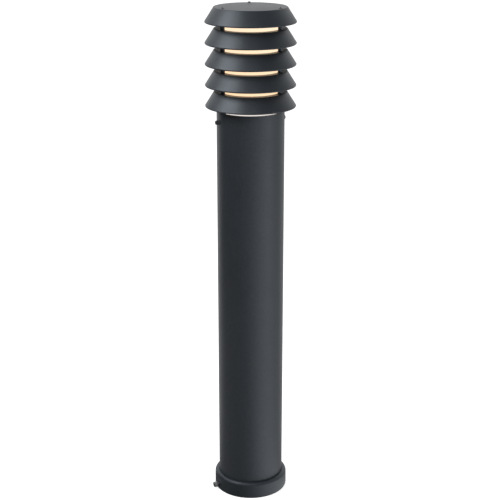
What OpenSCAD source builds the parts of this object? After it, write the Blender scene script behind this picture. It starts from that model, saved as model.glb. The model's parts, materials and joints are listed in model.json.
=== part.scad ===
// Bollard light: a round louvred head on a plain tubular column that stands in a cast foot.
// Millimetres, +Z up, origin at the centre of the foot's underside.
// Azimuths are counted anticlockwise from +X, seen from above.

/* [Column] */
// Outer diameter of the column tube
column_d = 112; // [100:1:160]
// Wall of the column tube
column_wall = 3; // [2:0.5:4]
// Cut length of the column tube
column_len = 679; // [300:1:1200]

/* [Foot] */
// Height of the cast foot
foot_h = 28.5; // [22:0.5:45]
// Radial thickness of the foot's ring round the column
foot_wall = 7.2; // [5:0.1:12]
// Thickness of the foot's floor, which the column stands on
foot_floor = 4; // [3:0.5:8]
// Rounding of the foot's upper outer shoulder
foot_shoulder = 6; // [1:0.5:6.5]
// Diameter of the central hole for the supply cable
cable_hole_d = 36; // [16:1:40]
// Diameter of one anchor bolt hole
anchor_hole_d = 9; // [6:0.5:12]
// Number of anchor bolt holes
anchor_count = 3; // [3, 4]
// Distance of the anchor circle inside the column's bore
anchor_inset = 13; // [10:0.5:16]

/* [Screws through the foot and the column] */
// Azimuth of the first of the two foot clamp screws
clamp_azimuth = 204; // [180:1:240]
// Angle from the first foot clamp screw back to the second
clamp_turn = 120; // [90:5:180]
// Height of the foot clamp screws
clamp_z = 8; // [8:0.5:14]
// How far a clamp screw's shank stands out of the foot below its head
clamp_standoff = 2; // [0.5:0.5:6]
// Azimuth of the first of the two head fixing screws
head_screw_azimuth = 202; // [180:1:209]
// Distance of the head fixing screws below the column's top
head_screw_drop = 17; // [15:0.5:22]

/* [Louvres] */
// Height of one louvre, from its flat top to its lip
louvre_h = 25; // [18:0.5:27]
// Distance from one louvre to the next
louvre_pitch = 34; // [28:0.5:45]
// How far the lip stands out beyond the edge of the flat top
louvre_flare = 14.7; // [6:0.1:22]
// Wall of the conical skirt, whose lip is fully round
skirt_wall = 3; // [2:0.5:4]
// Thickness of the flat top
plate_t = 3; // [2:0.5:5]
// Width of the flat top outside the tie screws' circle
louvre_rim = 6.8; // [6:0.1:12]
// Rounding between the flat top and the skirt
louvre_corner = 1.5; // [0.5:0.1:3]
// Free gap between a louvre's hole and the diffuser
louvre_gap = 3.2; // [1:0.1:3.4]
// Height of the lowest lip above the column's top
head_gap = 6; // [2:0.5:12]

/* [Head base and tie screws] */
// Distance of the tie screws' circle inside the column's outer face
tie_inset = 3; // [3:0.5:4]
// Azimuth of the first tie screw, with the other two at 120 degrees
tie_azimuth = 92.5; // [80:0.5:95]
// Diameter of the tie screws
tie_d = 4; // [3:0.5:4]
// Length of the tie screws' thread in the ears
tie_grip = 7; // [5:0.5:8]
// Outer diameter of the spacer sleeves
sleeve_d = 7.5; // [6.5:0.1:7.6]
// Diameter of the three ears that rest on the column's rim
ear_d = 10; // [9:0.5:12]
// Height of the ears above the column's rim
ear_h = 14; // [12:0.5:20]
// Length of the spigot inside the column
spigot_len = 30; // [26:1:45]
// Wall of the spigot
spigot_wall = 3.7; // [3.4:0.1:5]
// Thickness of the head base's floor
seat_floor = 5; // [4:0.5:8]
// Depth of the diffuser's seat below the column's top
seat_depth = 9; // [7.5:0.5:12]

/* [Diffuser and its seals] */
// Wall of the diffuser tube
diffuser_wall = 3; // [2:0.5:4]
// Thickness of the seals below and above the diffuser
seal_t = 2; // [1.5:0.5:3]
// Width of the bottom seal's lip round the diffuser
seal_lip = 3.7; // [2:0.1:5]

/* [Hidden] */
$fn = 96;

// Clearances, all radial or one-sided
slide_gap = 0.3;   // parts that are put together by hand
thread_gap = 0.05; // a screw in its tapped hole
snug_gap = 0.1;    // soft or glued parts in their seats
cut = 1;           // how far a cutting shape runs past a face

// Column and foot
column_r = column_d / 2;
bore_r = column_r - column_wall;
column_top = foot_floor + column_len;
socket_r = column_r + slide_gap;
foot_r = socket_r + foot_wall;
foot_edge = 1;
anchor_r = bore_r - anchor_inset;
clamp_d = 6;
clamp_head_d = 10;
clamp_head_h = 6;
clamp_key = 5;
clamp_tip_r = column_r + thread_gap;
clamp_azimuths = [clamp_azimuth, clamp_azimuth - clamp_turn];

// Head base
spigot_r = bore_r - slide_gap;
pocket_r = spigot_r - spigot_wall;
seat_z = column_top - seat_depth;
seat_under_z = seat_z - seat_floor;
spigot_rim_drop = 2.5;
tie_r = column_r - tie_inset;
ear_top = column_top + ear_h;
seal_lip_h = 3;
ear_neck_gap = 0.5;
ear_neck_z = seat_z + seal_t + seal_lip_h + ear_neck_gap;
oring_d = 2.4;
oring_r = bore_r - snug_gap - oring_d / 2;
oring_drop = 7;
oring_z = column_top - oring_drop;
oring_room = 0.1;
head_screw_d = 4;
head_screw_len = 12;
head_screw_head_d = 7;
head_screw_head_h = 4;
head_screw_key = 3;
head_screw_z = column_top - head_screw_drop;
head_screw_azimuths = [head_screw_azimuth, head_screw_azimuth + 180];
head_washer_d = 8;
head_washer_t = 1.5;
head_boss_d = 10;
head_boss_depth = 6;

// Diffuser and seals
seal_outer_r = pocket_r - 2 * snug_gap;
diffuser_r = seal_outer_r - seal_lip - snug_gap;
diffuser_in_r = diffuser_r - diffuser_wall;
seal_ledge = 1.5;
seal_inner_r = diffuser_in_r - seal_ledge;
top_seal_ledge = 0.5;
diffuser_z = seat_z + seal_t;

// Louvre stack: tier 0 is the cap and tier 4 the lowest ring
rings = 4;
function tier_top(i) = column_top + head_gap + louvre_h + (rings - i) * louvre_pitch;
top_z = tier_top(0);
under_cap_z = top_z - plate_t;
diffuser_len = under_cap_z - seal_t - diffuser_z;
louvre_top_r = tie_r + louvre_rim;
louvre_hole_r = diffuser_r + louvre_gap;
tie_hole_d = tie_d + 2 * slide_gap;
tie_head_d = 6.4;
tie_head_h = 1.7;
tie_key = 2.5;
tie_bottom = 2;
tie_washer_t = 0.4;
tie_len = top_z + tie_washer_t - ear_top + tie_grip;
cap_rib_h = 3;
cap_rib_t = 2;
cap_rib_r = diffuser_r + 2 * slide_gap;

// Lamp bracket: a sheet-steel bridge along Y
bridge_t = 1.5;
bridge_w = 14;
bridge_h = 17;
bridge_foot = 13;
bridge_inset = 3.5; // keeps the feet's corners clear of the bottom seal
bridge_reach = seal_inner_r - bridge_inset;
bridge_top = seat_z + bridge_h;
bridge_screw_y = bridge_reach - bridge_foot / 2;
small_screw_d = 3;
small_head_d = 5.5;
small_head_h = 2;
small_key = 2;
bracket_screw_len = 6;

// Lamp holder
holder_h = 42;
holder_base_r = 18;
holder_r = 21;
holder_base_h = 9;
holder_step_h = 3;
holder_edge = 1.5;
holder_screw_y = 10;
holder_screw_len = 8;
holder_screw_hole = 9;
shell_in_r = 13.55;
shell_t = 1.2;
shell_base_h = 16;
shell_z = bridge_top + shell_base_h;
shell_h = 24;
contact_base_h = 14;
contact_z = bridge_top + contact_base_h;
contact_t = 1;
contact_pad_h = 2;
contact_strip_l = 20;
contact_strip_w = 6;
contact_pad_d = 5;

// Lamp: screw cap 27 mm wide and a pear bulb 60 mm wide, 108 mm long in all
lamp_z = contact_z + contact_t + contact_pad_h + slide_gap;
lamp_len = 108;
bulb_r = 30;
neck_r = 12.4;
glass_t = 1;
cap_shell_r = 13.2;
cap_shell_t = 0.5;
cap_shell_z = 3.5;
cap_shell_h = 22;
cap_hole_r = 8;
tip_d = 9;
tip_h = 1.5;
insulator_in_r = 5;
insulator_out_r = 9.5;
insulator_deep = 1.5;
neck_z = 19;
neck_len = 9;

// Terminal block, placed as far out as the bottom seal lets its corners go
block_gap = 1;
block_l = 27;
block_w = 14;
block_h = 14;
block_out_x = sqrt(pow(seal_inner_r - block_gap, 2) - pow(block_l / 2, 2));
block_x = block_out_x - block_w;
pole_pitch = 7.5;
pole_d = 4;
pole_h = 8;
pole_z = seat_z + pole_h;
pole_screw_in = 3.5;
pole_screw_len = 3;
insert_inset = 1;
fine_screw_d = 2.5;
fine_head_d = 4.5;
fine_head_h = 1.6;
fine_key = 1.5;
fine_tip_short = 1; // how far the fixing screw ends above the floor's underside

// Wires and the earth point
wire_d = 2.6;
wire_grip = 3;
wire_gap = 1;
wire_rise_x = bridge_w / 2 + wire_d / 2 + wire_gap;
wire_bend_up = 3.5;
wire_bend_flat = 3;
wire_into_holder = 5;
earth_azimuth = 125;
earth_inset = 8.5;
earth_r = seal_inner_r - earth_inset;
earth_x = earth_r * cos(earth_azimuth);
earth_y = earth_r * sin(earth_azimuth);
earth_pad_d = 9;
lug_t = 1;
lug_barrel_len = 3;
lug_barrel_wall = 0.7;
lug_lift = 0.2;    // the wire above the lug's ring
lug_overlap = 0.8; // the barrel into the ring
wire_into_lug = 2;
earth_screw_len = 10;
earth_head_h = 2.4;
earth_pad_h = pole_z - seat_z - lug_t - wire_d / 2 - lug_lift;
lug_end_y = earth_y - earth_pad_d / 2 - lug_barrel_len + lug_overlap;

// Cable gland for a cable of 6 to 9 mm
gland_thread_r = 8;
gland_hex = 22;
gland_nut_hex = 20;
gland_nut_h = 5;
gland_flange_h = 5;
gland_neck_h = 8;
gland_cap_h = 13;
gland_bore_r = 4.6;
gland_wall = 2;
gland_gap = 1;
gland_thread_over = 1; // the thread above the nut and between flange and cap
gland_cap_wall = 2.5;
gland_cap_floor = 2;
gland_seal_drop = 1;
gland_entry_gap = 0.6;
gland_x = -(seal_inner_r - gland_hex / 2 / cos(30) - gland_gap);
gland_flange_z = seat_under_z - gland_flange_h;
gland_cap_z = gland_flange_z - gland_cap_h - gland_thread_over;

graphite = [0.20, 0.21, 0.22];
opal = [0.98, 0.93, 0.80];
steel = [0.62, 0.63, 0.65];
dark_steel = [0.24, 0.24, 0.25];
rubber = [0.10, 0.10, 0.10];
pale_rubber = [0.80, 0.79, 0.76];
ceramic = [0.94, 0.93, 0.89];
brass = [0.80, 0.66, 0.32];
clear_glass = [0.90, 0.95, 0.97, 0.5];
white_plastic = [0.90, 0.90, 0.88];
grey_plastic = [0.35, 0.36, 0.38];
brown = [0.45, 0.26, 0.14];
blue = [0.20, 0.35, 0.70];
green = [0.35, 0.60, 0.25];

// ---- Helpers ----

// Points along an arc about c, from angle a0 to a1, with both ends
function arc(c, r, a0, a1, steps = 6) =
    [for (i = [0:steps]) let (a = a0 + (a1 - a0) * i / steps) c + r * [cos(a), sin(a)]];

// Point of a cubic curve at t
function cubic(p, t) =
    pow(1 - t, 3) * p[0] + 3 * t * pow(1 - t, 2) * p[1] + 3 * t * t * (1 - t) * p[2] + pow(t, 3) * p[3];

module tube(outer_r, inner_r, h) {
    difference() {
        cylinder(r = outer_r, h = h);
        translate([0, 0, -cut]) cylinder(r = inner_r, h = h + 2 * cut);
    }
}

// Children at the three tie screws, with x pointing outward
module at_ties() {
    for (i = [0:2]) rotate(tie_azimuth + 120 * i) translate([tie_r, 0, 0]) children();
}

// Children at each azimuth, with z pointing outward along the radius
module at_sides(azimuths, r, z) {
    for (a = azimuths) rotate(a) translate([r, 0, z]) rotate([0, 90, 0]) children();
}

module hex_prism(flats, h) {
    cylinder(r = flats / 2 / cos(30), h = h, $fn = 6);
}

// Cylinder-head screw: the head's seat is at z = 0 and the shank runs down
module socket_screw(d, len, head_d, head_h, key) {
    difference() {
        union() {
            translate([0, 0, -len]) cylinder(d = d, h = len + cut);
            cylinder(d = head_d, h = head_h);
        }
        translate([0, 0, head_h / 2]) hex_prism(key, head_h);
    }
}

// Button-head screw, seated at z = 0, with a domed head
module button_screw(d, len, head_d, head_h, key) {
    dome_r = (head_h * head_h + head_d * head_d / 4) / (2 * head_h);
    key_floor = 0.4 * head_h;
    difference() {
        union() {
            translate([0, 0, -len]) cylinder(d = d, h = len + key_floor / 2);
            intersection() {
                cylinder(d = head_d, h = head_h);
                translate([0, 0, head_h - dome_r]) sphere(r = dome_r);
            }
        }
        translate([0, 0, key_floor]) hex_prism(key, head_h);
    }
}

// ---- Foot and column ----

module base_flange() {
    outline = concat(
        [[cable_hole_d / 2, 0]],
        arc([foot_r - foot_edge, foot_edge], foot_edge, -90, 0, 3),
        arc([foot_r - foot_shoulder, foot_h - foot_shoulder], foot_shoulder, 0, 90, 8),
        [[socket_r, foot_h], [socket_r, foot_floor], [cable_hole_d / 2, foot_floor]]
    );
    color(graphite) difference() {
        rotate_extrude() polygon(outline);
        for (i = [1:anchor_count]) rotate(360 / anchor_count * i - 90)
            translate([anchor_r, 0, -cut]) cylinder(d = anchor_hole_d, h = foot_floor + 2 * cut);
        at_sides(clamp_azimuths, socket_r - cut, clamp_z)
            cylinder(r = clamp_d / 2 + thread_gap, h = foot_wall + 2 * cut);
    }
}

module base_clamp_screws() {
    seat_r = foot_r + clamp_standoff;
    color(steel) at_sides(clamp_azimuths, seat_r, clamp_z)
        socket_screw(clamp_d, seat_r - clamp_tip_r, clamp_head_d, clamp_head_h, clamp_key);
}

module column_tube() {
    color(graphite) difference() {
        translate([0, 0, foot_floor]) tube(column_r, bore_r, column_len);
        at_sides(head_screw_azimuths, bore_r - cut, head_screw_z)
            cylinder(r = head_screw_d / 2 + slide_gap, h = column_wall + 2 * cut);
    }
}

// ---- Head base, seated on the column's rim by three ears ----

module head_base_solid() {
    rim_z = column_top - spigot_rim_drop;
    translate([0, 0, column_top - spigot_len]) tube(spigot_r, pocket_r, rim_z - column_top + spigot_len);
    translate([0, 0, seat_under_z]) cylinder(r = pocket_r + cut, h = seat_floor);
    at_ties() translate([0, 0, column_top]) cylinder(d = ear_d, h = ear_h);
    intersection() {
        at_ties() translate([0, 0, ear_neck_z]) cylinder(d = ear_d, h = ear_top - ear_neck_z);
        cylinder(r = spigot_r, h = column_top + cut);
    }
    intersection() {
        at_sides(head_screw_azimuths, pocket_r - head_boss_depth, head_screw_z)
            cylinder(d = head_boss_d, h = head_boss_depth + cut);
        cylinder(r = spigot_r, h = column_top);
    }
    translate([earth_x, earth_y, seat_z - cut]) cylinder(d = earth_pad_d, h = earth_pad_h + cut);
}

module head_base() {
    color(graphite) difference() {
        head_base_solid();
        translate([0, 0, oring_z - oring_d / 2 - oring_room])
            tube(spigot_r + cut, oring_r - oring_d / 2 - oring_room, oring_d + 2 * oring_room);
        at_ties() translate([0, 0, ear_top - tie_grip - tie_bottom])
            cylinder(r = tie_d / 2 + thread_gap, h = tie_grip + tie_bottom + cut);
        at_sides(head_screw_azimuths, pocket_r - head_boss_depth - cut, head_screw_z)
            cylinder(r = head_screw_d / 2 + thread_gap, h = head_boss_depth + spigot_wall + 3 * cut);
        floor_hole([gland_x, 0], gland_thread_r + thread_gap);
        floor_hole([block_x + block_w / 2, pole_pitch / 2], fine_screw_d / 2 + thread_gap);
        for (s = [-1, 1]) floor_hole([0, s * bridge_screw_y], small_screw_d / 2 + thread_gap);
        floor_hole([earth_x, earth_y], head_screw_d / 2 + thread_gap);
    }
}

// Hole through the head base's floor and through a pad on it
module floor_hole(at, r) {
    translate([at[0], at[1], seat_under_z - cut]) cylinder(r = r, h = seat_floor + earth_pad_h + 2 * cut);
}

module column_oring() {
    color(rubber) rotate_extrude() translate([oring_r, oring_z]) circle(d = oring_d, $fn = 24);
}

module head_fixing_screws() {
    color(dark_steel) at_sides(head_screw_azimuths, column_r + thread_gap + head_washer_t, head_screw_z)
        socket_screw(head_screw_d, head_screw_len, head_screw_head_d, head_screw_head_h, head_screw_key);
}

module head_screw_washers() {
    color(rubber) at_sides(head_screw_azimuths, column_r + thread_gap, head_screw_z)
        tube(head_washer_d / 2, head_screw_d / 2 + thread_gap, head_washer_t);
}

// ---- Louvres ----

// Outline of a louvre with its top plane at y = 0, from the radius hole_r outward
function louvre_outline(hole_r) =
    let (
        lip = skirt_wall / 2,
        lip_c = [louvre_top_r + louvre_flare - lip, lip - louvre_h],
        run = lip_c - [louvre_top_r, 0],
        tilt = atan2(run[0], -run[1]) + asin(lip / norm(run)),
        corner_x = louvre_top_r + louvre_corner * (sin(tilt) - 1) / cos(tilt),
        inner = lip_c - lip * [cos(tilt), sin(tilt)],
        rise = (-plate_t - inner[1]) / cos(tilt)
    )
    concat(
        [[hole_r, 0]],
        arc([corner_x, -louvre_corner], louvre_corner, 90, tilt, 4),
        arc(lip_c, lip, tilt, tilt - 180, 8),
        [[inner[0] - rise * sin(tilt), -plate_t], [hole_r, -plate_t]]
    );

module louvre(i, hole_r) {
    translate([0, 0, tier_top(i)]) difference() {
        rotate_extrude() polygon(louvre_outline(hole_r));
        at_ties() translate([0, 0, -plate_t - cut]) cylinder(d = tie_hole_d, h = plate_t + 2 * cut);
    }
}

module louvre_ring(i) {
    color(graphite) louvre(i, louvre_hole_r);
}

// The cap is closed, and a rib below its top centres the diffuser
module louvre_cap() {
    color(graphite) union() {
        louvre(0, 0);
        translate([0, 0, under_cap_z - cap_rib_h])
            tube(cap_rib_r + cap_rib_t, cap_rib_r, cap_rib_h + plate_t / 2);
    }
}

// Three sleeves from the flat top of a louvre, or from the ears, up to the louvre above
module spacers(i) {
    low = i > rings ? ear_top : tier_top(i);
    color(graphite) at_ties() translate([0, 0, low])
        tube(sleeve_d / 2, tie_hole_d / 2, tier_top(i - 1) - plate_t - low);
}

module tie_screws() {
    color(dark_steel) at_ties() translate([0, 0, top_z + tie_washer_t])
        button_screw(tie_d, tie_len, tie_head_d, tie_head_h, tie_key);
}

module tie_screw_washers() {
    color(rubber) at_ties() translate([0, 0, top_z])
        tube(tie_head_d / 2, tie_d / 2 + thread_gap, tie_washer_t);
}

// ---- Diffuser ----

module diffuser() {
    color(opal) translate([0, 0, diffuser_z]) tube(diffuser_r, diffuser_in_r, diffuser_len);
}

module diffuser_seal_bottom() {
    grip_r = diffuser_r + snug_gap;
    color(pale_rubber) translate([0, 0, seat_z]) rotate_extrude() polygon([
        [seal_inner_r, 0], [seal_outer_r, 0], [seal_outer_r, seal_t + seal_lip_h],
        [grip_r, seal_t + seal_lip_h], [grip_r, seal_t], [seal_inner_r, seal_t]
    ]);
}

module diffuser_seal_top() {
    color(pale_rubber) translate([0, 0, under_cap_z - seal_t])
        tube(cap_rib_r - snug_gap, diffuser_in_r - top_seal_ledge, seal_t);
}

// ---- Lamp holder on its bridge ----

module lamp_bracket() {
    leg_y = bridge_reach - bridge_foot;
    color(steel) difference() {
        translate([-bridge_w / 2, 0, seat_z]) union() {
            for (s = [-1, 1]) {
                translate([0, s > 0 ? leg_y : -bridge_reach, 0]) cube([bridge_w, bridge_foot, bridge_t]);
                translate([0, s > 0 ? leg_y : -leg_y - bridge_t, 0]) cube([bridge_w, bridge_t, bridge_h]);
            }
            translate([0, -leg_y - bridge_t, bridge_h - bridge_t])
                cube([bridge_w, 2 * (leg_y + bridge_t), bridge_t]);
        }
        for (s = [-1, 1]) {
            translate([0, s * bridge_screw_y, seat_z - cut])
                cylinder(r = small_screw_d / 2 + slide_gap, h = bridge_t + 2 * cut);
            translate([0, s * holder_screw_y, bridge_top - bridge_t - cut])
                cylinder(r = small_screw_d / 2 + slide_gap, h = bridge_t + 2 * cut);
        }
    }
}

module bracket_screws() {
    color(steel) for (s = [-1, 1]) translate([0, s * bridge_screw_y, seat_z + bridge_t])
        button_screw(small_screw_d, bracket_screw_len, small_head_d, small_head_h, small_key);
}

module lamp_holder() {
    edge_r = holder_r - holder_edge;
    outline = concat(
        [[0, 0], [holder_base_r, 0], [holder_base_r, holder_base_h]],
        arc([edge_r, holder_base_h + holder_step_h + holder_edge], holder_edge, -60, 0, 3),
        arc([edge_r, holder_h - holder_edge], holder_edge, 0, 90, 4),
        [[0, holder_h]]
    );
    color(ceramic) translate([0, 0, bridge_top]) difference() {
        rotate_extrude() polygon(outline);
        translate([0, 0, contact_z - bridge_top]) cylinder(r = shell_in_r + shell_t + snug_gap, h = holder_h);
        for (s = [-1, 1]) translate([0, s * holder_screw_y, -cut])
            cylinder(r = small_screw_d / 2 + thread_gap, h = holder_screw_hole + cut);
        for (y = [-pole_pitch, 0]) translate([wire_rise_x, y, -cut])
            cylinder(r = wire_d / 2 + snug_gap, h = wire_into_holder + wire_gap + cut);
    }
}

module holder_screws() {
    color(steel) for (s = [-1, 1]) translate([0, s * holder_screw_y, bridge_top - bridge_t]) mirror([0, 0, 1])
        button_screw(small_screw_d, holder_screw_len, small_head_d, small_head_h, small_key);
}

module holder_shell() {
    color(brass) translate([0, 0, shell_z]) tube(shell_in_r + shell_t, shell_in_r, shell_h);
}

module holder_contact() {
    color(brass) translate([0, 0, contact_z]) union() {
        translate([-contact_strip_l / 2, -contact_strip_w / 2, 0])
            cube([contact_strip_l, contact_strip_w, contact_t]);
        cylinder(d = contact_pad_d, h = contact_t + contact_pad_h);
    }
}

// ---- Lamp, screwed into the holder ----

// Half outline of the bulb, drawn in by `in` from the outer surface
function bulb_outline(in) =
    let (
        meet = -35,
        c = [0, lamp_len - bulb_r],
        r = bulb_r - in,
        neck = [neck_r - in, neck_z + neck_len],
        ball = c + r * [cos(meet), sin(meet)],
        neck_pull = 12,
        ball_pull = 14,
        flow = [neck, neck + [0, neck_pull], ball + ball_pull * [sin(meet), -cos(meet)], ball]
    )
    concat([for (i = [0:9]) cubic(flow, i / 10)], arc(c, r, meet, 90, 20));

module lamp_glass() {
    color(clear_glass) translate([0, 0, lamp_z]) difference() {
        rotate_extrude() polygon(concat([[0, neck_z], [neck_r, neck_z]], bulb_outline(0)));
        rotate_extrude() polygon(concat([[0, neck_z + glass_t], [neck_r - glass_t, neck_z + glass_t]],
            bulb_outline(glass_t)));
    }
}

module lamp_cap_shell() {
    color(steel) translate([0, 0, lamp_z + cap_shell_z]) difference() {
        cylinder(r = cap_shell_r, h = cap_shell_h);
        translate([0, 0, cap_shell_t]) cylinder(r = cap_shell_r - cap_shell_t, h = cap_shell_h);
        translate([0, 0, -cut]) cylinder(r = cap_hole_r, h = 2 * cut);
    }
}

module lamp_insulator() {
    plug_r = cap_hole_r - snug_gap;
    plug_z = cap_shell_z + insulator_deep;
    color(rubber) translate([0, 0, lamp_z]) rotate_extrude() polygon([
        [0, tip_h], [insulator_in_r, tip_h], [insulator_out_r, cap_shell_z],
        [plug_r, cap_shell_z], [plug_r, plug_z], [0, plug_z]
    ]);
}

module lamp_tip() {
    color(brass) translate([0, 0, lamp_z]) cylinder(d = tip_d, h = tip_h);
}

// ---- Terminal block, wires and earth point ----

module at_poles() {
    for (i = [-1:1]) translate([block_x, i * pole_pitch, 0]) children();
}

module at_pole_screws() {
    at_poles() for (x = [pole_screw_in, block_w - pole_screw_in]) translate([x, 0, 0]) children();
}

module terminal_block() {
    color(white_plastic) difference() {
        translate([block_x, -block_l / 2, seat_z]) cube([block_w, block_l, block_h]);
        at_poles() translate([-cut, 0, pole_z]) rotate([0, 90, 0])
            cylinder(d = pole_d, h = block_w + 2 * cut);
        at_pole_screws() translate([0, 0, pole_z]) cylinder(r = fine_screw_d / 2 + slide_gap, h = block_h);
        translate([block_x + block_w / 2, pole_pitch / 2, seat_z - cut])
            cylinder(r = fine_screw_d / 2 + slide_gap, h = block_h + 2 * cut);
    }
}

module terminal_inserts() {
    color(brass) at_poles() translate([insert_inset, 0, pole_z]) rotate([0, 90, 0])
        tube(pole_d / 2 - thread_gap, wire_d / 2 + thread_gap, block_w - 2 * insert_inset);
}

module terminal_screws() {
    color(steel) at_pole_screws() translate([0, 0, pole_z + pole_d / 2])
        cylinder(d = fine_screw_d, h = pole_screw_len);
}

module terminal_fixing_screw() {
    fine_len = block_h + seat_floor - fine_tip_short;
    color(steel) translate([block_x + block_w / 2, pole_pitch / 2, seat_z + block_h])
        button_screw(fine_screw_d, fine_len, fine_head_d, fine_head_h, fine_key);
}

module wire_up(y) {
    level = block_x + wire_grip - wire_rise_x - wire_bend_up;
    translate([wire_rise_x + wire_bend_up, y, pole_z]) rotate([0, 90, 0]) cylinder(d = wire_d, h = level);
    translate([wire_rise_x + wire_bend_up, y, pole_z + wire_bend_up]) rotate([90, 0, 0]) rotate(180)
        rotate_extrude(angle = 90) translate([wire_bend_up, 0]) circle(d = wire_d, $fn = 24);
    translate([wire_rise_x, y, pole_z + wire_bend_up])
        cylinder(d = wire_d, h = bridge_top + wire_into_holder - pole_z - wire_bend_up);
}

module wire_live() {
    color(brown) wire_up(-pole_pitch);
}

module wire_neutral() {
    color(blue) wire_up(0);
}

// The earth wire runs level under the bridge and turns to the lug
module wire_earth() {
    turn_x = earth_x + wire_bend_flat;
    turn_y = pole_pitch + wire_bend_flat;
    color(green) translate([0, 0, pole_z]) union() {
        translate([turn_x, pole_pitch, 0]) rotate([0, 90, 0])
            cylinder(d = wire_d, h = block_x + wire_grip - turn_x);
        translate([turn_x, turn_y, 0]) rotate(180)
            rotate_extrude(angle = 90) translate([wire_bend_flat, 0]) circle(d = wire_d, $fn = 24);
        translate([earth_x, turn_y, 0]) rotate([-90, 0, 0])
            cylinder(d = wire_d, h = lug_end_y + wire_into_lug - turn_y);
    }
}

module earth_lug() {
    color(brass) union() {
        translate([earth_x, earth_y, seat_z + earth_pad_h])
            tube(earth_pad_d / 2, head_screw_d / 2 + slide_gap, lug_t);
        translate([earth_x, lug_end_y, pole_z]) rotate([-90, 0, 0])
            tube(wire_d / 2 + lug_barrel_wall, wire_d / 2 + thread_gap, lug_barrel_len);
    }
}

module earth_screw() {
    color(steel) translate([earth_x, earth_y, seat_z + earth_pad_h + lug_t])
        button_screw(head_screw_d, earth_screw_len, head_screw_head_d, earth_head_h, head_screw_key);
}

// ---- Cable gland under the head base ----

module gland_body() {
    top = seat_z + gland_nut_h + gland_thread_over;
    low = gland_flange_z - gland_neck_h;
    color(grey_plastic) translate([gland_x, 0, 0]) difference() {
        union() {
            translate([0, 0, low]) cylinder(r = gland_thread_r, h = top - low);
            translate([0, 0, gland_flange_z]) hex_prism(gland_hex, gland_flange_h);
        }
        translate([0, 0, low - cut]) cylinder(r = gland_thread_r - gland_wall, h = top - low + 2 * cut);
    }
}

module gland_nut() {
    color(grey_plastic) translate([gland_x, 0, seat_z]) difference() {
        hex_prism(gland_nut_hex, gland_nut_h);
        translate([0, 0, -cut]) cylinder(r = gland_thread_r + thread_gap, h = gland_nut_h + 2 * cut);
    }
}

module gland_cap() {
    color(grey_plastic) translate([gland_x, 0, gland_cap_z]) difference() {
        cylinder(r = gland_thread_r + gland_cap_wall, h = gland_cap_h);
        translate([0, 0, gland_cap_floor]) cylinder(r = gland_thread_r + thread_gap, h = gland_cap_h);
        translate([0, 0, -cut]) cylinder(r = gland_bore_r + gland_entry_gap, h = gland_cap_h);
    }
}

module gland_seal() {
    seal_h = gland_cap_h - gland_cap_floor - gland_seal_drop;
    color(rubber) translate([gland_x, 0, gland_cap_z + gland_cap_floor])
        tube(gland_thread_r - gland_wall - snug_gap, gland_bore_r, seal_h);
}

base_flange();
base_clamp_screws();
column_tube();
head_base();
column_oring();
head_fixing_screws();
head_screw_washers();
louvre_ring(1);  // louvre_ring_1
louvre_ring(2);  // louvre_ring_2
louvre_ring(3);  // louvre_ring_3
louvre_ring(4);  // louvre_ring_4
louvre_cap();
spacers(1);  // spacers_1
spacers(2);  // spacers_2
spacers(3);  // spacers_3
spacers(4);  // spacers_4
spacers(5);  // spacers_5
tie_screws();
tie_screw_washers();
diffuser();
diffuser_seal_bottom();
diffuser_seal_top();
lamp_bracket();
bracket_screws();
lamp_holder();
holder_screws();
holder_shell();
holder_contact();
lamp_glass();
lamp_cap_shell();
lamp_insulator();
lamp_tip();
terminal_block();
terminal_inserts();
terminal_screws();
terminal_fixing_screw();
wire_live();
wire_neutral();
wire_earth();
earth_screw();
earth_lug();
gland_body();
gland_nut();
gland_cap();
gland_seal();
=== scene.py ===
import json
import math

import bmesh
import bpy
from mathutils import Matrix, Vector

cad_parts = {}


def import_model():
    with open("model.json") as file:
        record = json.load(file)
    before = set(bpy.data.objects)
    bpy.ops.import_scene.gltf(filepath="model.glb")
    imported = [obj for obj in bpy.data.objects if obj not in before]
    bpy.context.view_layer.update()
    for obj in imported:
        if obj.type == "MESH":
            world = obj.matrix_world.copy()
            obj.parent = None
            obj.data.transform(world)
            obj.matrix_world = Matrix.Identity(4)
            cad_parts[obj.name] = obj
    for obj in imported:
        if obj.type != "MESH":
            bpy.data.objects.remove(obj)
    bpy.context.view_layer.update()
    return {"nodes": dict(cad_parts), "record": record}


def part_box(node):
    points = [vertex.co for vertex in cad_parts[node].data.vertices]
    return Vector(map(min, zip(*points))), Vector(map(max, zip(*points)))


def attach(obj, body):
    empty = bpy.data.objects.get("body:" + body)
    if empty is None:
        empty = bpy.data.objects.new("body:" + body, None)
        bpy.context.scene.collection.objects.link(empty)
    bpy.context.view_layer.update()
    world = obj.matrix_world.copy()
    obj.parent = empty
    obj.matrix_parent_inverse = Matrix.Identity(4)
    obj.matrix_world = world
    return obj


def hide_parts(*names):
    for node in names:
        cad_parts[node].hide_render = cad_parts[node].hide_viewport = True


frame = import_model()

# ---- Sizes, in metres, that the CAD boxes don't give by themselves ----
MM = 0.001
RING = 192                # segments round the large turned pieces
SMALL_RING = 48           # segments round screws and sleeves
SHARP = math.radians(32)  # edges bent more than this stay crisp

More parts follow.
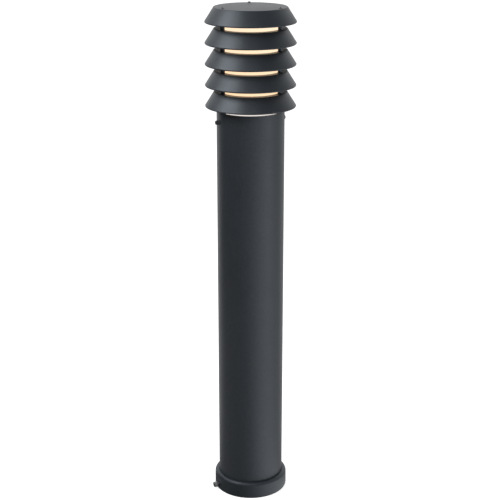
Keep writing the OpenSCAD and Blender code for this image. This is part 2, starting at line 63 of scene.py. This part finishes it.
PLATE = 3 * MM            # flat top of a louvre
SKIRT = 3 * MM            # conical wall of a louvre
FLARE = 14.7 * MM         # lip beyond the edge of the flat top
LOUVRE_HOLE = 48.2 * MM
LOUVRE_H = 25 * MM        # from the flat top to the lip
LIP_ROUND = 0.495 * SKIRT
INNER_ROUND = 2 * MM
HOLE_ROUND = 0.4 * MM
RIB_ROOT_ROUND = 0.5 * MM
TOP_CORNER = 1.5 * MM
RIB_IN, RIB_OUT, RIB_DROP = 45.6 * MM, 47.6 * MM, 3 * MM
DIFFUSER_WALL = 3 * MM
TIE_R = 53 * MM
TIE_AZIMUTHS = (92.5, 212.5, 332.5)
SLEEVE_BORE = 2.3 * MM
TIE_SHANK, TIE_KEY, TIE_HEAD_R, TIE_HEAD_H = 2.0 * MM, 2.5 * MM, 3.2 * MM, 1.7 * MM
CLAMP_AZIMUTHS, CLAMP_Z = (204, 84), 8 * MM
CLAMP_STANDOFF = 2 * MM
CLAMP_HEAD_R, CLAMP_HEAD_H, CLAMP_KEY, CLAMP_SHANK = 5 * MM, 6 * MM, 5 * MM, 3 * MM
HEAD_AZIMUTHS, HEAD_Z = (202, 22), 666 * MM
HEAD_SCREW_END = -12 * MM
HEAD_HEAD_R, HEAD_HEAD_H, HEAD_KEY, HEAD_SHANK = 3.5 * MM, 4 * MM, 3 * MM, 2 * MM
HEAD_WASHER_T, HEAD_WASHER_R = 1.5 * MM, 4 * MM
THREAD_PITCH, THREAD_DEPTH, THREAD_LEN = 0.7 * MM, 0.22 * MM, 22 * MM
WASHER_GAP = 0.05 * MM
LAMP_THREAD = 3.6 * MM
SCREW_CHAMFER = 0.3 * MM
KEY_FLARE, KEY_CHAMFER, KEY_DISH = 1.10, 0.2 * MM, 0.25 * MM

# Camera: long lens, looking down at the head
LENS = 86.82
PITCH = 18.197
CAMERA_AT = (-0.0010, -1.9500, 1.0817)

# Glow of the opal tube: colours at the top and low down, the painted pale glow at its lowest end, and heights
GLOW_HIGH, GLOW_LOW, PAINTED_END_GLOW = (1.12, 0.84, 0.58, 1), (1.10, 0.76, 0.46, 1), (0.85, 0.78, 0.74, 1)
GLOW_HEIGHTS = (0.71, 0.82)
END_HEIGHTS = (0.687, 0.708)

# Stage: what the camera sees of the floor, and what the part is lit by and mirrors
FLOOR_HALF, FLOOR_DROP = 12, 0.3 * MM
FLOOR_LIFT = 0.75                     # emission towards the camera
FLOOR_UNSEEN = (0.15, 0.15, 0.15, 1)  # floor colour for all other rays
FLOOR_SIDE = 325                      # azimuth of the bright patch
FLOOR_GLOW, FLOOR_BACK = (0.06, 1.12), 0.6
WORLD_FRONT, WORLD_BEHIND = 0.22, 1.0
FLAG_STEPS, FLAG_R, FLAG_TOP = 12, 0.95, 0.95


# ---- Outlines and turned meshes ----

def rounded(points, radii, steps=5):
    """A closed outline of (radius, height) points with its corners rounded."""
    out = []
    count = len(points)
    for i, corner in enumerate(points):
        here = Vector(corner)
        rho = radii[i]
        if rho <= 0:
            out.append(tuple(here))
            continue
        before = (Vector(points[i - 1]) - here).normalized()
        after = (Vector(points[(i + 1) % count]) - here).normalized()
        half = before.angle(after) / 2
        reach = rho / math.tan(half)
        centre = here + (before + after).normalized() * (rho / math.sin(half))
        start, end = here + before * reach - centre, here + after * reach - centre
        turn = start.angle_signed(end)
        for k in range(steps + 1):
            angle = turn * k / steps
            spun = Vector((
                start.x * math.cos(angle) + start.y * math.sin(angle),
                start.y * math.cos(angle) - start.x * math.sin(angle),
            ))
            out.append(tuple(centre + spun))
    return out


def hex_radius(flats_half, angle):
    sixth = math.pi / 3
    return flats_half / math.cos((angle + sixth / 2) % sixth - sixth / 2)


def turned(name, outline, places=None, segments=RING, closed=True):
    """A mesh of revolution about +Z, once at each of places.

    outline holds (radius, height), or (half width, height, True) for a hexagonal step."""
    places = places or [Matrix.Identity(4)]
    bm = bmesh.new()
    for place in places:
        rows = []
        for step in range(segments):
            angle = 2 * math.pi * step / segments
            row = []
            for point in outline:
                radius = hex_radius(point[0], angle) if len(point) > 2 else point[0]
                at = Vector((radius * math.cos(angle), radius * math.sin(angle), point[1]))
                row.append(bm.verts.new(place @ at))
            rows.append(row)
        last = len(outline) if closed else len(outline) - 1
        for step in range(segments):
            a, b = rows[step], rows[(step + 1) % segments]
            for k in range(last):
                n = (k + 1) % len(outline)
                bm.faces.new((a[k], b[k], b[n], a[n]))
    bmesh.ops.remove_doubles(bm, verts=bm.verts, dist=1e-7)
    bmesh.ops.recalc_face_normals(bm, faces=bm.faces)
    for face in bm.faces:
        face.smooth = True
    for edge in bm.edges:
        if edge.is_manifold and edge.calc_face_angle(0) > SHARP:
            edge.smooth = False
    mesh = bpy.data.meshes.new(name)
    bm.to_mesh(mesh)
    bm.free()
    piece = bpy.data.objects.new(name, mesh)
    bpy.context.scene.collection.objects.link(piece)
    return piece


def finish_piece(piece, body, slot, nodes):
    piece.data.materials.append(LOOKS[slot])
    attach(piece, body)
    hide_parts(*nodes)
    return piece


def upright(radius, azimuths, height):
    """Places on a circle, with local +Z up."""
    return [
        Matrix.Rotation(math.radians(a), 4, "Z") @ Matrix.Translation((radius, 0, height))
        for a in azimuths
    ]


def outward(radius, azimuths, height):
    """Places on a circle, with local +Z pointing away from the axis."""
    return [
        Matrix.Rotation(math.radians(a), 4, "Z")
        @ Matrix.Translation((radius, 0, height))
        @ Matrix.Rotation(math.radians(90), 4, "Y")
        for a in azimuths
    ]


# ---- Materials ----

def new_material(name):
    mat = bpy.data.materials.new(name)
    mat.use_nodes = True
    return mat, mat.node_tree, mat.node_tree.nodes["Principled BSDF"]


def add(tree, kind, inputs=(), **settings):
    made = tree.nodes.new(kind)
    for key, value in settings.items():
        setattr(made, key, value)
    for key, value in dict(inputs).items():
        if isinstance(value, bpy.types.NodeSocket):
            tree.links.new(value, made.inputs[key])
        else:
            made.inputs[key].default_value = value
    return made


def place_of(tree):
    return tree.nodes.get("where") or _named(add(tree, "ShaderNodeTexCoord"), "where")


def _named(made, name):
    made.name = name
    return made


def noise(tree, scale, detail=3, rough=0.55, vector=None):
    source = vector or place_of(tree).outputs["Object"]
    return add(tree, "ShaderNodeTexNoise", {
        "Vector": source, "Scale": scale, "Detail": detail, "Roughness": rough,
    }).outputs["Fac"]


def stretched(tree, scale_xyz):
    return add(tree, "ShaderNodeMapping", {
        "Vector": place_of(tree).outputs["Object"], "Scale": scale_xyz,
    }).outputs["Vector"]


def ramp(tree, fac, stops):
    made = add(tree, "ShaderNodeValToRGB", {"Fac": fac})
    elements = made.color_ramp.elements
    while len(elements) < len(stops):
        elements.new(0.5)
    for element, (at, colour) in zip(elements, stops):
        element.position = at
        element.color = (*colour, 1)
    return made.outputs["Color"]


def spread(tree, fac, low, high):
    """fac from 0..1 mapped to low..high"""
    return add(tree, "ShaderNodeMapRange", {
        "Value": fac, "To Min": low, "To Max": high,
    }).outputs["Result"]


def between(tree, value, low, high):
    """0 below low, 1 above high, smooth between"""
    return add(tree, "ShaderNodeMapRange", {
        "Value": value, "From Min": low, "From Max": high,
    }, interpolation_type="SMOOTHSTEP").outputs["Result"]


def mixed(tree, fac, a, b, blend="MIX"):
    made = add(tree, "ShaderNodeMix", data_type="RGBA", blend_type=blend)
    for key, value in (("Factor", fac), ("A", a), ("B", b)):
        socket = [s for s in made.inputs if s.name == key and s.enabled][0]
        if isinstance(value, bpy.types.NodeSocket):
            tree.links.new(value, socket)
        else:
            socket.default_value = value
    return [s for s in made.outputs if s.enabled][0]


def maths(tree, operation, a, b):
    made = add(tree, "ShaderNodeMath", operation=operation)
    for socket, value in zip(made.inputs, (a, b)):
        if isinstance(value, bpy.types.NodeSocket):
            tree.links.new(value, socket)
        else:
            socket.default_value = value
    return made.outputs["Value"]


def height_of(tree):
    return add(tree, "ShaderNodeSeparateXYZ", {"Vector": place_of(tree).outputs["Object"]}).outputs["Z"]


def bumped(tree, shader, layers):
    """Bump layers of (height, strength, distance), one over the other."""
    normal = None
    for height, strength, distance in layers:
        inputs = {"Height": height, "Strength": strength, "Distance": distance}
        if normal is not None:
            inputs["Normal"] = normal
        normal = add(tree, "ShaderNodeBump", inputs).outputs["Normal"]
    tree.links.new(normal, shader.inputs["Normal"])


def worn(tree, low, high):
    """Share of wear along raised edges, broken up by noise"""
    edge = between(tree, add(tree, "ShaderNodeNewGeometry").outputs["Pointiness"], low, high)
    return maths(tree, "MULTIPLY", edge, noise(tree, 260, 4))


def graphite_paint():
    mat, tree, shader = new_material("graphite_paint")
    cloud = noise(tree, 7, 4)
    speck = noise(tree, 1500, 2)
    base = ramp(tree, cloud, [(0.30, (0.0118, 0.0148, 0.0192)), (0.70, (0.0148, 0.0182, 0.0232))])
    base = mixed(tree, spread(tree, speck, 0.0, 0.30), base, (0.030, 0.034, 0.040, 1))
    wear = maths(tree, "MULTIPLY", worn(tree, 0.52, 0.60), 0.35)
    base = mixed(tree, wear, base, (0.075, 0.080, 0.088, 1))
    tree.links.new(base, shader.inputs["Base Color"])
    tree.links.new(spread(tree, noise(tree, 30, 4), 0.38, 0.50), shader.inputs["Roughness"])
    shader.inputs["Specular IOR Level"].default_value = 0.75
    shader.inputs["Specular Tint"].default_value = (0.82, 0.91, 1, 1)
    bumped(tree, shader, [(noise(tree, 420, 2), 0.10, 0.0006), (speck, 0.16, 0.0003)])
    return mat


def metal(name, dark, pale, rough, grain, specks=400):
    mat, tree, shader = new_material(name)
    lines = noise(tree, 1, 3, 0.6, stretched(tree, grain))
    tree.links.new(ramp(tree, lines, [(0.25, dark), (0.75, pale)]), shader.inputs["Base Color"])
    polish = spread(tree, noise(tree, specks, 3), rough - 0.07, rough + 0.08)
    tree.links.new(polish, shader.inputs["Roughness"])
    shader.inputs["Metallic"].default_value = 1
    bumped(tree, shader, [(lines, 0.12, 0.0002)])
    return mat


def moulded(name, deep, pale, rough, grain=900, coat=0.0):
    """Plastic, rubber or glaze with a fine moulded grain"""
    mat, tree, shader = new_material(name)
    cloud = noise(tree, 45, 4)
    fine = noise(tree, grain, 2)
    tree.links.new(ramp(tree, cloud, [(0.30, deep), (0.70, pale)]), shader.inputs["Base Color"])
    tree.links.new(spread(tree, fine, rough - 0.06, rough + 0.06), shader.inputs["Roughness"])
    shader.inputs["Coat Weight"].default_value = coat
    shader.inputs["Coat Roughness"].default_value = 0.08
    bumped(tree, shader, [(fine, 0.15, 0.0002)])
    return mat


def pale_silicone():
    mat = moulded("pale_silicone", (0.62, 0.60, 0.56), (0.72, 0.70, 0.66), 0.55, 700)
    shader = mat.node_tree.nodes["Principled BSDF"]
    shader.inputs["Subsurface Weight"].default_value = 0.25
    shader.inputs["Subsurface Scale"].default_value = 0.004
    return mat


def opal_plastic():
    """Opal tube, lit from inside, with a painted pale glow at its lowest end, which the lamp doesn't light"""
    mat, tree, shader = new_material("opal_plastic")
    mottle = noise(tree, 60, 3)
    milk = ramp(tree, mottle, [(0.3, (0.50, 0.47, 0.42)), (0.7, (0.56, 0.53, 0.48))])
    tree.links.new(milk, shader.inputs["Base Color"])
    lit = between(tree, height_of(tree), *END_HEIGHTS)
    lit = maths(tree, "MULTIPLY", lit, spread(tree, mottle, 0.90, 1.08))
    glow = mixed(tree, between(tree, height_of(tree), *GLOW_HEIGHTS), GLOW_LOW, GLOW_HIGH)
    # below END_HEIGHTS the lamp glow gives way to a painted pale glow, not lamp light
    glow = mixed(tree, lit, PAINTED_END_GLOW, glow)
    tree.links.new(glow, shader.inputs["Emission Color"])
    shader.inputs["Emission Strength"].default_value = 1.0
    tree.links.new(spread(tree, noise(tree, 300, 3), 0.22, 0.34), shader.inputs["Roughness"])
    bumped(tree, shader, [(mottle, 0.05, 0.0004)])
    return mat


def lamp_glass():
    mat, tree, shader = new_material("lamp_glass")
    frost = noise(tree, 900, 3)
    glass = ramp(tree, frost, [(0.3, (0.86, 0.82, 0.74)), (0.7, (0.95, 0.92, 0.86))])
    tree.links.new(glass, shader.inputs["Base Color"])
    tree.links.new(spread(tree, frost, 0.28, 0.42), shader.inputs["Roughness"])
    tree.links.new(ramp(tree, noise(tree, 40, 2), [(0.2, (1.0, 0.66, 0.36)), (0.8, (1.0, 0.72, 0.42))]),
                   shader.inputs["Emission Color"])
    shader.inputs["Emission Strength"].default_value = 1.6
    bumped(tree, shader, [(frost, 0.08, 0.0002)])
    return mat


def nickel_cap():
    """Plated lamp cap with a rolled thread"""
    mat, tree, shader = new_material("nickel_cap")
    turns = maths(tree, "SINE", maths(tree, "MULTIPLY", height_of(tree), 2 * math.pi / LAMP_THREAD), 0)
    plating = ramp(tree, noise(tree, 120, 4), [(0.3, (0.50, 0.49, 0.47)), (0.7, (0.68, 0.67, 0.65))])
    tree.links.new(plating, shader.inputs["Base Color"])
    tree.links.new(spread(tree, noise(tree, 500, 3), 0.18, 0.32), shader.inputs["Roughness"])
    shader.inputs["Metallic"].default_value = 1
    bumped(tree, shader, [(turns, 0.8, 0.0009)])
    return mat


LOOKS = {
    "graphite_paint": graphite_paint(),
    "stainless_steel": metal(
        "stainless_steel", (0.36, 0.37, 0.38), (0.56, 0.57, 0.58), 0.34, (300, 300, 2600)),
    "dark_steel": metal("dark_steel", (0.16, 0.165, 0.17), (0.26, 0.265, 0.27), 0.38, (700, 700, 1200)),
    "black_rubber": moulded("black_rubber", (0.012, 0.012, 0.013), (0.022, 0.022, 0.023), 0.72),
    "pale_silicone": pale_silicone(),
    "opal_plastic": opal_plastic(),
    "ceramic": moulded("ceramic", (0.70, 0.68, 0.62), (0.80, 0.78, 0.73), 0.26, 350, 0.6),
    "brass": metal("brass", (0.55, 0.36, 0.12), (0.74, 0.54, 0.23), 0.28, (400, 400, 900)),
    "lamp_glass": lamp_glass(),
    "nickel_cap": nickel_cap(),
    "black_vitrite": moulded("black_vitrite", (0.010, 0.010, 0.011), (0.018, 0.017, 0.018), 0.16, 500, 0.5),
    "white_plastic": moulded("white_plastic", (0.70, 0.70, 0.67), (0.78, 0.78, 0.75), 0.42),
    "grey_plastic": moulded("grey_plastic", (0.085, 0.088, 0.092), (0.12, 0.123, 0.128), 0.46),
    "brown_sleeve": moulded("brown_sleeve", (0.12, 0.050, 0.022), (0.17, 0.07, 0.03), 0.40),
    "blue_sleeve": moulded("blue_sleeve", (0.020, 0.070, 0.32), (0.03, 0.10, 0.42), 0.40),
    "green_sleeve": moulded("green_sleeve", (0.07, 0.23, 0.04), (0.10, 0.30, 0.06), 0.40),
}


def dress_cad_nodes():
    for part in frame["record"]["subparts"]:
        node = frame["nodes"][part["node"]]
        node.data.materials.clear()
        node.data.materials.append(LOOKS[part["material_slot"]])


# ---- Louvres ----

def louvre_points(top_r, height, flare):
    """Outer corner, lip and inner corner of a louvre with its flat top at height 0"""
    lip = SKIRT / 2
    centre = Vector((top_r + flare - lip, lip - height))
    run = centre - Vector((top_r, 0))
    tilt = math.atan2(run.x, -run.y) + math.asin(lip / run.length)
    normal = Vector((math.cos(tilt), math.sin(tilt)))
    down = Vector((math.sin(tilt), -math.cos(tilt)))
    outer = centre + normal * lip + down * lip
    inner = centre - normal * lip + down * lip
    rise = (-PLATE - inner.y) / math.cos(tilt)
    under = inner - down * rise
    return [(top_r, 0), tuple(outer), tuple(inner), tuple(under)]


def louvre(name, node, body, hole_r=None):
    low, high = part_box(node)
    top_r = high.x - FLARE
    skirt = louvre_points(top_r, LOUVRE_H, FLARE)
    skirt_rounds = [TOP_CORNER, LIP_ROUND, LIP_ROUND, INNER_ROUND]
    if hole_r:
        points = [(hole_r, 0)] + skirt + [(hole_r, -PLATE)]
        rounds = [HOLE_ROUND] + skirt_rounds + [HOLE_ROUND]
    else:
        deep = -PLATE - RIB_DROP
        rib = [(RIB_OUT, -PLATE), (RIB_OUT, deep), (RIB_IN, deep), (RIB_IN, -PLATE)]
        points = [(0, 0)] + skirt + rib + [(0, -PLATE)]
        rounds = [0] + skirt_rounds + [RIB_ROOT_ROUND, HOLE_ROUND, HOLE_ROUND, RIB_ROOT_ROUND, 0]
    outline = rounded(points, rounds, 6)
    piece = turned(name, outline, [Matrix.Translation((0, 0, low.z + LOUVRE_H))])
    return finish_piece(piece, body, "graphite_paint", [node])



# ---- Screws, sleeves and washers ----

def threaded(shank, end, length):
    """Points up the shank from its end, with thread grooves over a length"""
    points = [(0, end), (shank - THREAD_DEPTH, end), (shank, end + THREAD_PITCH)]
    for turn in range(1, int(length / THREAD_PITCH)):
        low = end + turn * THREAD_PITCH
        points += [(shank - THREAD_DEPTH, low + 0.5 * THREAD_PITCH), (shank, low + THREAD_PITCH)]
    return points


def socket_rim(key, top, floor):
    """Chamfered hexagon socket, from the head's top to its floor"""
    half = key / 2
    rim = [(half * KEY_FLARE, top, True), (half, top - KEY_CHAMFER, True)]
    return rim + [(half, floor, True), (0, floor - KEY_DISH)]


def button_outline(shank, end, head_r, head_h, key, thread):
    ball = (head_h ** 2 + head_r ** 2) / (2 * head_h)
    dome = []
    steps = 9
    edge = head_r * 0.985
    for k in range(steps + 1):
        radius = edge + (key * 0.66 - edge) * k / steps
        dome.append((radius, head_h - ball + math.sqrt(ball ** 2 - radius ** 2)))
    under = [(shank, 0), (head_r * 0.96, 0)]
    return threaded(shank, end, thread) + under + dome + socket_rim(key, head_h, 0.4 * head_h)


def cylinder_outline(shank, end, head_r, head_h, key):
    edge = 0.6 * MM
    top = [(head_r - edge + edge * math.sin(a), head_h - edge + edge * math.cos(a))
           for a in (math.radians(90 - 15 * k) for k in range(7))]
    low = [(shank, 0), (head_r - SCREW_CHAMFER, 0), (head_r, SCREW_CHAMFER)]
    tip = [(0, end), (shank - SCREW_CHAMFER, end), (shank, end + SCREW_CHAMFER)]
    return tip + low + top + socket_rim(key, head_h, 0.5 * head_h)


def ring_outline(inner, outer, low, high, edge):
    return rounded([(inner, low), (outer, low), (outer, high), (inner, high)], [edge] * 4, 3)


def tie_screws():
    low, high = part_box("tie_screws")
    seat = high.z - TIE_HEAD_H
    outline = button_outline(TIE_SHANK, low.z - seat, TIE_HEAD_R, TIE_HEAD_H, TIE_KEY, THREAD_LEN)
    piece = turned("tie_screw_set", outline, upright(TIE_R, TIE_AZIMUTHS, seat), SMALL_RING, False)
    finish_piece(piece, "cap", "dark_steel", ["tie_screws"])
    low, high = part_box("tie_screw_washers")
    outline = ring_outline(TIE_SHANK + WASHER_GAP, TIE_HEAD_R, low.z, high.z, 0.2 * MM)
    washers = turned("tie_washer_set", outline, upright(TIE_R, TIE_AZIMUTHS, 0), SMALL_RING)
    finish_piece(washers, "cap", "black_rubber", ["tie_screw_washers"])


def sleeves():
    for i in range(1, 6):
        node = f"spacers_{i}"
        low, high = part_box(node)
        radius = high.y - TIE_R * math.sin(math.radians(TIE_AZIMUTHS[0]))
        outline = ring_outline(SLEEVE_BORE, radius, low.z, high.z, 0.35 * MM)
        piece = turned(f"sleeve_set_{i}", outline, upright(TIE_R, TIE_AZIMUTHS, 0), SMALL_RING)
        finish_piece(piece, "bollard", "graphite_paint", [node])


def side_screws():
    foot_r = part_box("base_flange")[1].x
    column_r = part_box("column_tube")[1].x
    seat = foot_r + CLAMP_STANDOFF
    outline = cylinder_outline(CLAMP_SHANK, column_r - seat, CLAMP_HEAD_R, CLAMP_HEAD_H, CLAMP_KEY)
    places = outward(seat, CLAMP_AZIMUTHS, CLAMP_Z)
    piece = turned("clamp_screw_pair", outline, places, SMALL_RING, False)
    finish_piece(piece, "bollard", "stainless_steel", ["base_clamp_screws"])
    seat = column_r + HEAD_WASHER_T
    outline = cylinder_outline(HEAD_SHANK, HEAD_SCREW_END, HEAD_HEAD_R, HEAD_HEAD_H, HEAD_KEY)
    piece = turned("head_screw_pair", outline, outward(seat, HEAD_AZIMUTHS, HEAD_Z), SMALL_RING, False)
    finish_piece(piece, "bollard", "graphite_paint", ["head_fixing_screws"])
    outline = ring_outline(
        HEAD_SHANK + WASHER_GAP, HEAD_WASHER_R, WASHER_GAP, HEAD_WASHER_T, 0.35 * MM)
    piece = turned("head_washer_pair", outline, outward(column_r, HEAD_AZIMUTHS, HEAD_Z), SMALL_RING)
    finish_piece(piece, "bollard", "grey_plastic", ["head_screw_washers"])


# ---- Diffuser ----

def diffuser():
    low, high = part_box("diffuser")
    outline = ring_outline(high.x - DIFFUSER_WALL, high.x, low.z, high.z, 0.5 * MM)
    piece = turned("opal_tube", outline)
    finish_piece(piece, "bollard", "opal_plastic", ["diffuser"])


# ---- Stage: floor, light and camera ----

def floor():
    half = FLOOR_HALF
    corners = [(-half, -half, 0), (half, -half, 0), (half, half, 0), (-half, half, 0)]
    mesh = bpy.data.meshes.new("floor")
    mesh.from_pydata(corners, [], [(0, 1, 2, 3)])
    piece = bpy.data.objects.new("floor", mesh)
    piece.location.z = -FLOOR_DROP
    bpy.context.scene.collection.objects.link(piece)
    mat, tree, shader = new_material("pale_floor")
    seen = add(tree, "ShaderNodeLightPath").outputs["Is Camera Ray"]
    pale = ramp(tree, noise(tree, 14, 4), [(0.3, (0.80, 0.80, 0.80)), (0.7, (0.84, 0.84, 0.84))])
    tree.links.new(mixed(tree, seen, FLOOR_UNSEEN, pale), shader.inputs["Base Color"])
    shader.inputs["Roughness"].default_value = 0.9
    shader.inputs["Specular IOR Level"].default_value = 0.1
    shader.inputs["Emission Color"].default_value = (1, 1, 1, 1)
    spot = place_of(tree).outputs["Object"]
    away = add(tree, "ShaderNodeVectorMath", {0: spot}, operation="NORMALIZE").outputs["Vector"]
    side = math.radians(FLOOR_SIDE)
    bright = (math.cos(side), math.sin(side), 0)
    towards = add(tree, "ShaderNodeVectorMath", {0: away, 1: bright}, operation="DOT_PRODUCT").outputs["Value"]
    patch = maths(tree, "POWER", maths(tree, "MAXIMUM", towards, 0.0), 3.0)
    back = add(tree, "ShaderNodeSeparateXYZ", {"Vector": away}).outputs["Y"]
    rim = maths(tree, "MULTIPLY", between(tree, back, 0.2, 0.9), FLOOR_BACK)
    patch = maths(tree, "ADD", patch, rim)
    strength = add(tree, "ShaderNodeMix", data_type="FLOAT")
    tree.links.new(seen, strength.inputs[0])
    tree.links.new(spread(tree, patch, *FLOOR_GLOW), strength.inputs[2])
    strength.inputs[3].default_value = FLOOR_LIFT
    tree.links.new(strength.outputs[0], shader.inputs["Emission Strength"])
    mesh.materials.append(mat)


def softbox(name, at, towards, wide, high, radiance, colour=(1, 1, 1)):
    data = bpy.data.lights.new(name, "AREA")
    data.shape = "RECTANGLE"
    data.size, data.size_y = wide, high
    data.energy = radiance * math.pi * wide * high
    data.color = colour
    lamp = bpy.data.objects.new(name, data)
    lamp.location = at
    lamp.rotation_euler = (Vector(towards) - Vector(at)).to_track_quat("-Z", "Y").to_euler()
    lamp.visible_camera = False
    bpy.context.scene.collection.objects.link(lamp)


def flag(name, azimuths, radius, low, high):
    """A dark card that only reflections see"""
    points, faces = [], []
    for k in range(FLAG_STEPS + 1):
        a = math.radians(azimuths[0] + (azimuths[1] - azimuths[0]) * k / FLAG_STEPS)
        points += [(radius * math.cos(a), radius * math.sin(a), z) for z in (low, high)]
    for k in range(FLAG_STEPS):
        faces.append((2 * k, 2 * k + 2, 2 * k + 3, 2 * k + 1))
    mesh = bpy.data.meshes.new(name)
    mesh.from_pydata(points, [], faces)
    card = bpy.data.objects.new(name, mesh)
    bpy.context.scene.collection.objects.link(card)
    mat, tree, shader = new_material(name)
    dark = ramp(tree, noise(tree, 20, 3), [(0.3, (0.010, 0.010, 0.010)), (0.7, (0.016, 0.016, 0.016))])
    tree.links.new(dark, shader.inputs["Base Color"])
    shader.inputs["Roughness"].default_value = 1
    mesh.materials.append(mat)
    card.visible_camera = card.visible_diffuse = card.visible_shadow = False


def world():
    made = bpy.data.worlds.new("studio")
    bpy.context.scene.world = made
    made.use_nodes = True
    tree = made.node_tree
    ground = tree.nodes["Background"]
    direction = add(tree, "ShaderNodeTexCoord").outputs["Generated"]
    facing = add(tree, "ShaderNodeSeparateXYZ", {"Vector": direction})
    behind = between(tree, facing.outputs["Y"], -0.3, 0.9)
    lit = spread(tree, behind, WORLD_FRONT, WORLD_BEHIND)
    seen = add(tree, "ShaderNodeLightPath").outputs["Is Camera Ray"]
    strength = add(tree, "ShaderNodeMix", data_type="FLOAT")
    tree.links.new(seen, strength.inputs[0])
    tree.links.new(lit, strength.inputs[2])
    strength.inputs[3].default_value = 1.0
    ground.inputs["Color"].default_value = (1, 1, 1, 1)
    tree.links.new(strength.outputs[0], ground.inputs["Strength"])


def camera():
    data = bpy.data.cameras.new("camera")
    data.sensor_width = 36
    data.lens = LENS
    cam = bpy.data.objects.new("camera", data)
    cam.location = CAMERA_AT
    cam.rotation_euler = (math.radians(90 - PITCH), 0, 0)
    bpy.context.scene.collection.objects.link(cam)
    bpy.context.scene.camera = cam


def studio():
    world()
    floor()
    softbox("key", (-1.72, -0.72, 2.15), (0, 0, 0.78), 2.1, 1.5, 4.4)
    softbox("strip", (1.55, -0.85, 0.75), (0, 0, 0.55), 0.4, 1.5, 0.8)
    softbox("front", (0.2, -2.6, 2.6), (0, 0, 0.5), 1.4, 1.0, 1.5)
    flag("flag", (146, 240), FLAG_R, 0.0, FLAG_TOP)
    camera()


dress_cad_nodes()
louvre("cap_shade", "louvre_cap", "cap")
for tier in range(1, 5):
    louvre(f"shade_{tier}", f"louvre_ring_{tier}", "bollard", LOUVRE_HOLE)
diffuser()
sleeves()
tie_screws()
side_screws()
studio()
bpy.context.scene.view_settings.view_transform = "Standard"
